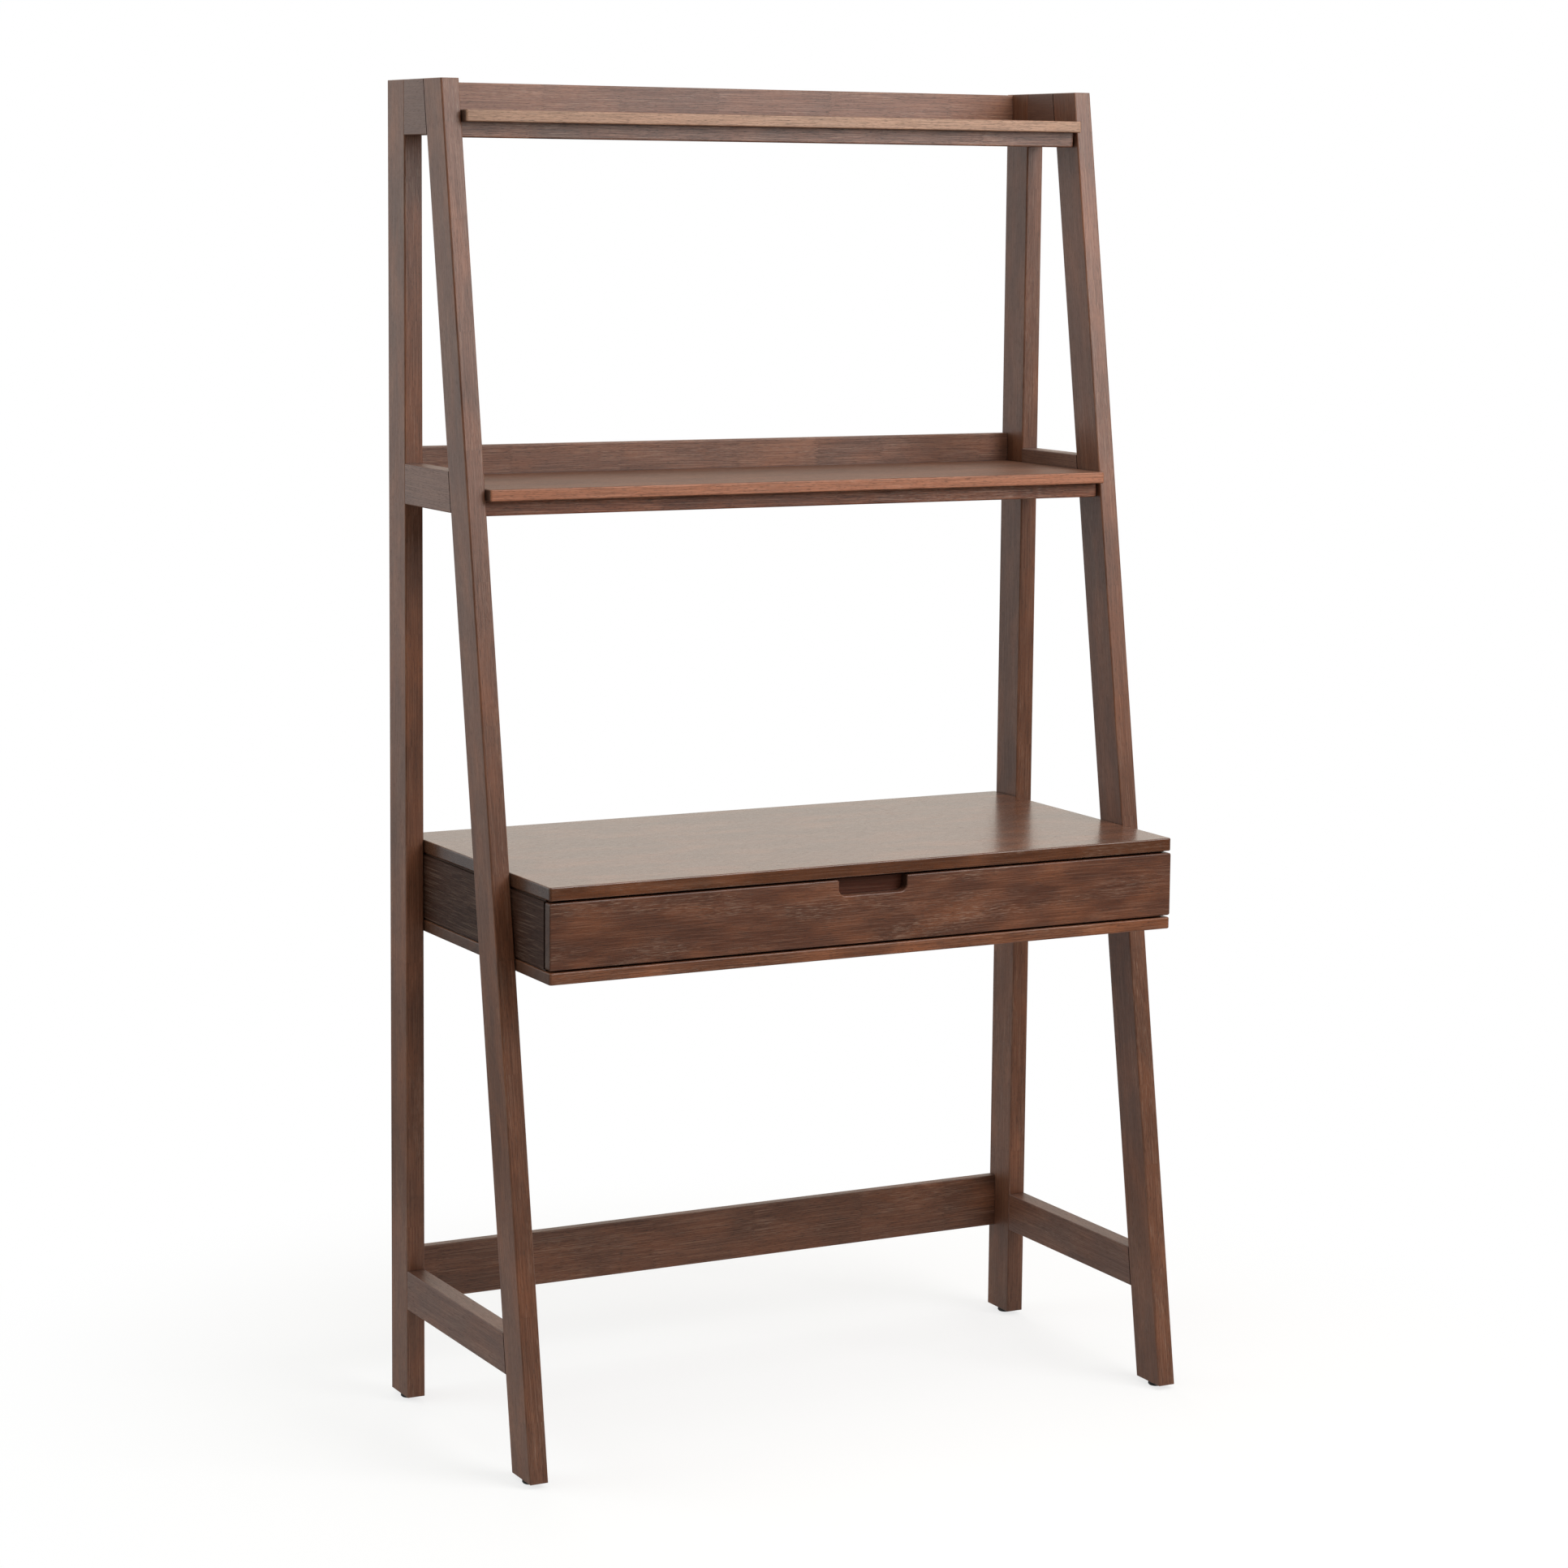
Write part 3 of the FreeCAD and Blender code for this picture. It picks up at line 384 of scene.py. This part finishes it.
def zinc_plate(name, length, width, roughness):
    """Zinc plating whose marks are length along Y and width across it, in millimetres."""
    mark_depth = 0.0001
    stain_size = 0.02
    material, tree, shader = start_material(name)
    shader.inputs["Metallic"].default_value = 1.0
    texture = add_node(tree, "ShaderNodeTexCoord")
    marks = add_node(tree, "ShaderNodeVectorMath", {
        0: texture.outputs["Object"], 1: (1000 / width, 1000 / length, 1000 / width)},
        operation="MULTIPLY")
    marks = add_node(tree, "ShaderNodeTexNoise", {"Vector": marks, "Scale": 1.0, "Detail": 2.0})
    stains = add_node(tree, "ShaderNodeTexNoise", {
        "Vector": texture.outputs["Object"], "Scale": 1 / stain_size, "Detail": 2.0})
    stains = add_node(tree, "ShaderNodeMapRange", {0: stains, 1: 0.4, 2: 0.65})
    tone = add_node(tree, "ShaderNodeMix", {0: stains, 6: zinc_grey, 7: zinc_shade},
                    data_type="RGBA")
    tree.links.new(tone.outputs[2], shader.inputs["Base Color"])
    dull = add_node(tree, "ShaderNodeMapRange", {
        0: marks, 1: 0.3, 2: 0.7, 3: roughness, 4: roughness + 0.2})
    tree.links.new(dull.outputs[0], shader.inputs["Roughness"])
    bump = add_node(tree, "ShaderNodeBump", {
        "Height": marks, "Strength": 0.3, "Distance": mark_depth})
    tree.links.new(bump.outputs["Normal"], shader.inputs["Normal"])
    return material


rolled = zinc_plate("rolled steel, bright zinc", length=60.0, width=0.6, roughness=0.22)
for side in ("left", "right"):
    for node in ("slide_outer", "slide_middle", "slide_inner", "outer_cage", "inner_cage"):
        finish_node(f"{side}_{node}", rolled)


# ---- screws ----
# Pan-head screws with a cross recess, of steel cold-headed from wire, with rolled threads, plated
# with bright zinc. Short ones hold the slides, and long ones hold the drawer front to its box.

head_radius = 0.0035
head_height = 0.0014
core_radius = 0.0013
thread_radius = 0.00175
thread_pitch = 0.0014
headed = zinc_plate("headed steel, bright zinc", length=1.0, width=1.0, roughness=0.28)


def pick_faces(test):
    """In edit mode, selects the faces whose normal passes a test."""
    shape = bmesh.from_edit_mesh(bpy.context.object.data)
    bpy.ops.mesh.select_mode(type="FACE")
    for face in shape.faces:
        face.select_set(test(face.normal))
    shape.select_flush_mode()
    bmesh.update_edit_mesh(bpy.context.object.data)


def pan_screw(length):
    """A screw that points down, with the underside of its head at the origin."""
    head_rounding = 0.6 * head_height
    point_length = 1.5 * core_radius
    point_width = 0.1
    bpy.ops.object.select_all(action="DESELECT")
    bpy.ops.mesh.primitive_cylinder_add(vertices=32, radius=head_radius, depth=head_height,
                                        location=(0.0, 0.0, head_height / 2))
    screw = bpy.context.object
    bpy.ops.object.transform_apply(location=True, rotation=True, scale=True)

    # The rim of the head is rounded, and the shank is drawn out of its underside to a point.
    bpy.ops.object.mode_set(mode="EDIT")
    pick_faces(lambda normal: normal.z > 0.9)
    bpy.ops.mesh.bevel(offset=head_rounding, segments=4, affect="EDGES")
    pick_faces(lambda normal: normal.z < -0.9)
    bpy.ops.mesh.inset(thickness=head_radius - core_radius)
    bpy.ops.mesh.extrude_region_move(
        TRANSFORM_OT_translate={"value": (0.0, 0.0, point_length - length)})
    bpy.ops.mesh.extrude_region_move(
        TRANSFORM_OT_translate={"value": (0.0, 0.0, -point_length)})
    bpy.ops.transform.resize(value=(point_width, point_width, 1.0))
    bpy.ops.object.mode_set(mode="OBJECT")

    # Two crossed bars, narrower at the bottom, cut the recess.
    recess_length = 1.2 * head_radius
    recess_width = 0.26 * head_radius
    recess_depth = 0.75 * head_height
    recess_taper = 0.6
    for turn in (0.0, 90.0):
        bpy.ops.object.select_all(action="DESELECT")
        bpy.ops.mesh.primitive_cube_add(size=1.0, location=(0.0, 0.0, head_height))
        bar = bpy.context.object
        bar.scale = (recess_length, recess_width, 2 * recess_depth)
        bar.rotation_euler = (0.0, 0.0, math.radians(turn))
        bpy.ops.object.transform_apply(location=True, rotation=True, scale=True)
        bpy.ops.object.mode_set(mode="EDIT")
        pick_faces(lambda normal: normal.z < -0.9)
        bpy.ops.transform.resize(value=(recess_taper, recess_taper, 1.0))
        bpy.ops.object.mode_set(mode="OBJECT")
        cut = screw.modifiers.new("recess", "BOOLEAN")
        cut.operation = "DIFFERENCE"
        cut.solver = "EXACT"
        cut.object = bar
        bpy.context.view_layer.objects.active = screw
        bpy.ops.object.modifier_apply(modifier=cut.name)
        bpy.data.objects.remove(bar)

    # The thread is a ridge that winds down the shank, from just below the head to above the
    # point. Its section is a triangle, squashed along the screw.
    thread_start = 1.5 * thread_pitch
    ridge_squash = 0.8
    bare_turns = 5
    turn_steps = 20
    bpy.ops.object.select_all(action="DESELECT")
    bpy.ops.mesh.primitive_circle_add(
        vertices=3, radius=thread_radius - core_radius, fill_type="NGON",
        location=(core_radius, 0.0, -thread_start), rotation=(math.radians(90), 0.0, 0.0))
    thread = bpy.context.object
    thread.scale = (1.0, ridge_squash, 1.0)
    bpy.ops.object.transform_apply(location=True, rotation=True, scale=True)
    wind = thread.modifiers.new("wind", "SCREW")
    wind.axis = "Z"
    wind.angle = -2 * math.pi
    wind.screw_offset = -thread_pitch
    wind.iterations = int((length - bare_turns * thread_pitch) / thread_pitch)
    wind.steps = wind.render_steps = turn_steps
    bpy.ops.object.modifier_apply(modifier=wind.name)
    bpy.ops.object.mode_set(mode="EDIT")
    bpy.ops.mesh.select_all(action="SELECT")
    bpy.ops.mesh.fill_holes(sides=3)
    bpy.ops.object.mode_set(mode="OBJECT")
    screw.select_set(True)
    bpy.context.view_layer.objects.active = screw
    bpy.ops.object.join()
    bpy.ops.object.mode_set(mode="EDIT")
    bpy.ops.mesh.select_all(action="SELECT")
    bpy.ops.mesh.normals_make_consistent(inside=False)
    bpy.ops.object.mode_set(mode="OBJECT")
    bpy.ops.object.shade_smooth_by_angle(angle=math.radians(35))
    screw.data.materials.clear()
    screw.data.materials.append(headed)
    return screw


def drive_screws(node, body, length, spots):
    """Copies one screw to each spot, a place for its head's underside and the way it points."""
    master = pan_screw(length)
    copies = []
    for place, way in spots:
        copied = master.copy()
        copied.data = master.data.copy()
        bpy.context.scene.collection.objects.link(copied)
        copied.matrix_world = (Matrix.Translation(place)
                               @ Vector(way).to_track_quat("-Z", "Y").to_matrix().to_4x4())
        copies.append(copied)
    bpy.data.objects.remove(master)
    bpy.ops.object.select_all(action="DESELECT")
    for copied in copies:
        copied.select_set(True)
    bpy.context.view_layer.objects.active = copies[0]
    bpy.ops.object.join()
    screws = bpy.context.object
    screws.name = node.replace("screws", "pan_screws")
    bpy.ops.object.transform_apply(location=True, rotation=True, scale=True)
    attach(screws, body)
    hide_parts(node)


slide_screw_length = 0.010
for node, body, outwards in (
        ("slide_case_screws", "frame", 1), ("slide_drawer_screws", "drawer", -1)):
    low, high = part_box(node)
    first, last = low[1] + head_radius, high[1] - head_radius
    head = high[0] - (slide_screw_length if outwards > 0 else head_height)
    drive_screws(node, body, slide_screw_length, [
        ((side * head, first + share * (last - first), (low[2] + high[2]) / 2),
         (side * outwards, 0.0, 0.0)) for side in (-1, 1) for share in (0.0, 0.5, 1.0)])

front_screw_length = 0.022
front_screw_count = 4
low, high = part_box("drawer_front_screws")
first, last = low[0] + head_radius, high[0] - head_radius
drive_screws("drawer_front_screws", "drawer", front_screw_length, [
    ((first + count / (front_screw_count - 1) * (last - first), high[1] - head_height,
      (low[2] + high[2]) / 2), (0.0, -1.0, 0.0)) for count in range(front_screw_count)])


# ---- bolts ----
# Low-headed bolts with a hexagon socket run from inside the desk box into the legs, and the cams
# pull on short bolts with a waisted neck. They are turned steel, with the screws' zinc plating.

for node in ("desk_box_bolts", "top_shelf_cam_bolts", "mid_shelf_cam_bolts",
             "back_rail_cam_bolts"):
    finish_node(node, headed)


# ---- cams ----
# Round cams, die cast in zinc alloy, that pull each board's bolts tight from a pocket in its
# hidden face. The casting skin is dull and a little pitted.

cast = zinc_plate("die cast zinc alloy", length=0.8, width=0.8, roughness=0.4)
for node in ("top_shelf_cams", "mid_shelf_cams", "back_rail_cams"):
    finish_node(node, cast)


# ---- leg inserts ----
# Threaded sleeves, turned from brass bar and driven into the legs, that the bolts screw into.
# The lathe leaves fine rings round them, across X.

ring_width = 0.0003
brass, tree, shader = start_material("turned brass")
shader.inputs["Metallic"].default_value = 1.0
texture = add_node(tree, "ShaderNodeTexCoord")
rings = add_node(tree, "ShaderNodeVectorMath", {
    0: texture.outputs["Object"], 1: (1 / ring_width, 1.0, 1.0)}, operation="MULTIPLY")
rings = add_node(tree, "ShaderNodeTexNoise", {"Vector": rings, "Scale": 1.0, "Detail": 1.0})
tone = add_node(tree, "ShaderNodeMix", {0: rings, 6: linear("#B98F4A"), 7: linear("#DCB76E")},
                data_type="RGBA")
tree.links.new(tone.outputs[2], shader.inputs["Base Color"])
dull = add_node(tree, "ShaderNodeMapRange", {0: rings, 1: 0.3, 2: 0.7, 3: 0.2, 4: 0.4})
tree.links.new(dull.outputs[0], shader.inputs["Roughness"])
finish_node("leg_inserts", brass)


# ---- pegs ----
# Turned beech pegs that line up the shelves and the low back rail. The wood is pale and bare,
# with the short dark flecks of beech along the peg.

ray_length = 0.003
ray_width = 0.0005
beech, tree, shader = start_material("turned beech, bare")
shader.inputs["Roughness"].default_value = 0.6
texture = add_node(tree, "ShaderNodeTexCoord")
rays = add_node(tree, "ShaderNodeVectorMath", {
    0: texture.outputs["Object"], 1: (1 / ray_length, 1 / ray_width, 1 / ray_width)},
    operation="MULTIPLY")
rays = add_node(tree, "ShaderNodeTexNoise", {"Vector": rays, "Scale": 1.0, "Detail": 1.0})
rays = add_node(tree, "ShaderNodeMapRange", {0: rays, 1: 0.35, 2: 0.5})
tone = add_node(tree, "ShaderNodeMix", {0: rays, 6: linear("#A87B52"), 7: linear("#CFA77C")},
                data_type="RGBA")
tree.links.new(tone.outputs[2], shader.inputs["Base Color"])
for node in ("top_shelf_pegs", "mid_shelf_pegs", "back_rail_pegs"):
    finish_node(node, beech)


# ---- studio ----
# A pale matt floor that turns into a white backdrop. Soft lamps stand high and low at the
# right, at the back on the left, overhead and behind, and soft light comes from all round.


def seen_straight(tree):
    """The rays' kinds, and 1 for a ray from the camera, a reflection or glass, otherwise 0."""
    path = add_node(tree, "ShaderNodeLightPath")
    seen = add_node(tree, "ShaderNodeMath", {
        0: path.outputs["Is Camera Ray"], 1: path.outputs["Is Glossy Ray"]}, operation="MAXIMUM")
    seen = add_node(tree, "ShaderNodeMath", {
        0: seen, 1: path.outputs["Is Transmission Ray"]}, operation="MAXIMUM")
    return path, seen


# The light falls on the floor as on pale paint. What is seen of it is three quarters white round
# the desk, where it keeps the shadow, and all white at the rim, which then has no edge. The white
# is weaker in a reflection.
floor_radius = 1.4
fade_from = 0.6
fade_to = 1.3
mirrored_strength = 0.35
bpy.ops.object.select_all(action="DESELECT")
bpy.ops.mesh.primitive_circle_add(vertices=96, radius=floor_radius, fill_type="NGON")
floor = bpy.context.object
floor.name = "studio_floor"
floor_paint = bpy.data.materials.new("matt white floor paint")
floor_paint.use_nodes = True
tree = floor_paint.node_tree
tree.nodes.clear()
path, seen = seen_straight(tree)
where = add_node(tree, "ShaderNodeTexCoord")
radius = add_node(tree, "ShaderNodeVectorMath", {0: where.outputs["Object"]}, operation="LENGTH")
fade = add_node(tree, "ShaderNodeMapRange", {
    0: radius.outputs["Value"], 1: fade_from, 2: fade_to, 3: 0.75, 4: 1.0},
    interpolation_type="SMOOTHSTEP")
share = add_node(tree, "ShaderNodeMath", {0: seen, 1: fade}, operation="MULTIPLY")
paint = add_node(tree, "ShaderNodeBsdfDiffuse", {"Color": linear("#F3F3F3")})
level = add_node(tree, "ShaderNodeMath", {
    0: path.outputs["Is Camera Ray"], 1: mirrored_strength}, operation="MAXIMUM")
white = add_node(tree, "ShaderNodeEmission", {"Color": (1, 1, 1, 1), "Strength": level})
both = add_node(tree, "ShaderNodeMixShader", {0: share, 1: paint, 2: white})
add_node(tree, "ShaderNodeOutputMaterial", {"Surface": both})
floor.data.materials.append(floor_paint)

# The camera sees white. A reflection sees the white backdrop behind the desk, which is dim in
# front and dark below, and amber rather than cool above the horizon on the right. All other
# rays bring soft, warm light.
studio = bpy.data.worlds.new("soft studio")
bpy.context.scene.world = studio
studio.use_nodes = True
tree = studio.node_tree
tree.nodes.clear()
path, seen = seen_straight(tree)
where = add_node(tree, "ShaderNodeTexCoord")
way = add_node(tree, "ShaderNodeSeparateXYZ", {0: where.outputs["Generated"]})
backdrop = add_node(tree, "ShaderNodeMapRange", {
    0: way.outputs["Y"], 1: -0.5, 2: 0.5, 3: 0.1, 4: 0.98}, interpolation_type="SMOOTHSTEP")
below = add_node(tree, "ShaderNodeMapRange", {
    0: way.outputs["Z"], 1: -0.27, 2: -0.06, 3: 0.0, 4: 1.0}, interpolation_type="SMOOTHSTEP")
mirrored = add_node(tree, "ShaderNodeMath", {0: backdrop, 1: below}, operation="MULTIPLY")
level = add_node(tree, "ShaderNodeMath", {
    0: mirrored, 1: path.outputs["Is Camera Ray"]}, operation="MAXIMUM")
rightwards = add_node(tree, "ShaderNodeMapRange", {0: way.outputs["X"], 1: -0.5, 2: 0.1})
amber = add_node(tree, "ShaderNodeMapRange", {
    0: way.outputs["Z"], 1: -0.05, 2: 0.1, 3: 0.0, 4: rightwards})
tint = add_node(tree, "ShaderNodeMix", {
    0: amber, 6: (0.93, 0.97, 1.0, 1), 7: (0.98, 0.91, 0.81, 1)}, data_type="RGBA")
tint = add_node(tree, "ShaderNodeMix", {
    0: path.outputs["Is Camera Ray"], 6: tint.outputs[2], 7: (1, 1, 1, 1)}, data_type="RGBA")
white = add_node(tree, "ShaderNodeBackground", {"Color": tint.outputs[2], "Strength": level})
soft = add_node(tree, "ShaderNodeBackground", {
    "Color": (1.0, 0.9, 0.76, 1.0), "Strength": 0.47})
both = add_node(tree, "ShaderNodeMixShader", {0: seen, 1: soft, 2: white})
add_node(tree, "ShaderNodeOutputWorld", {"Surface": both})


def softbox(name, place, aim, size, power, colour=(1.0, 1.0, 1.0), mirrored=True):
    """A square lamp behind cloth, at place and facing aim, in metres and watts.

    A lamp that isn't mirrored lights the desk and leaves no reflection of itself."""
    lamp = bpy.data.lights.new(name, "AREA")
    lamp.shape = "SQUARE"
    lamp.size = size
    lamp.energy = power
    lamp.color = colour
    holder = bpy.data.objects.new(name, lamp)
    bpy.context.scene.collection.objects.link(holder)
    holder.location = place
    holder.rotation_euler = (Vector(aim) - Vector(place)).to_track_quat("-Z", "Y").to_euler()
    holder.visible_camera = False
    holder.visible_glossy = mirrored


softbox("high right softbox", place=(1.0, -1.7, 2.45), aim=(0.15, 0.0, 1.65), size=1.7,
        power=54)
softbox("right softbox", place=(1.9, -2.6, 1.3), aim=(0.0, 0.0, 0.8), size=1.6, power=10,
        mirrored=False)
softbox("left softbox", place=(-2.2, 0.9, 1.7), aim=(0.0, 0.0, 1.2), size=1.8, power=24,
        colour=(0.78, 0.98, 1.03), mirrored=False)
softbox("overhead softbox", place=(0.0, -0.5, 3.2), aim=(0.0, 0.0, 0.8), size=2.0, power=22)
softbox("rear softbox", place=(0.6, 3.2, 1.6), aim=(0.0, 0.0, 1.0), size=2.0, power=35,
        mirrored=False)


# ---- camera ----
# A long lens, about 5.5 m from the desk and to its left, at a height between the two shelves
# and looking a little down. A small vertical shift keeps the desk central in the frame.

camera_place = (-2.5351, -4.7627, 1.6819)
camera_yaw = math.radians(27.9127)
camera_pitch = math.radians(7.4113)
camera_roll = math.radians(0.5523)
lens = 90.142
sensor = 36.0
frame_pixels = 1932
shift_pixels = 97.9

camera_data = bpy.data.cameras.new("camera")
camera_data.sensor_width = sensor
camera_data.lens = lens
camera_data.shift_y = -shift_pixels / frame_pixels
camera = bpy.data.objects.new("camera", camera_data)
bpy.context.scene.collection.objects.link(camera)
forwards = Vector((math.sin(camera_yaw) * math.cos(camera_pitch),
                   math.cos(camera_yaw) * math.cos(camera_pitch), -math.sin(camera_pitch)))
level_right = Vector((math.cos(camera_yaw), -math.sin(camera_yaw), 0.0))
level_up = level_right.cross(forwards)
right = level_right * math.cos(camera_roll) + level_up * math.sin(camera_roll)
up = level_up * math.cos(camera_roll) - level_right * math.sin(camera_roll)
turn = Matrix((right, up, -forwards)).transposed().to_4x4()
camera.matrix_world = Matrix.Translation(camera_place) @ turn
bpy.context.scene.camera = camera
bpy.context.scene.view_settings.view_transform = "Standard"
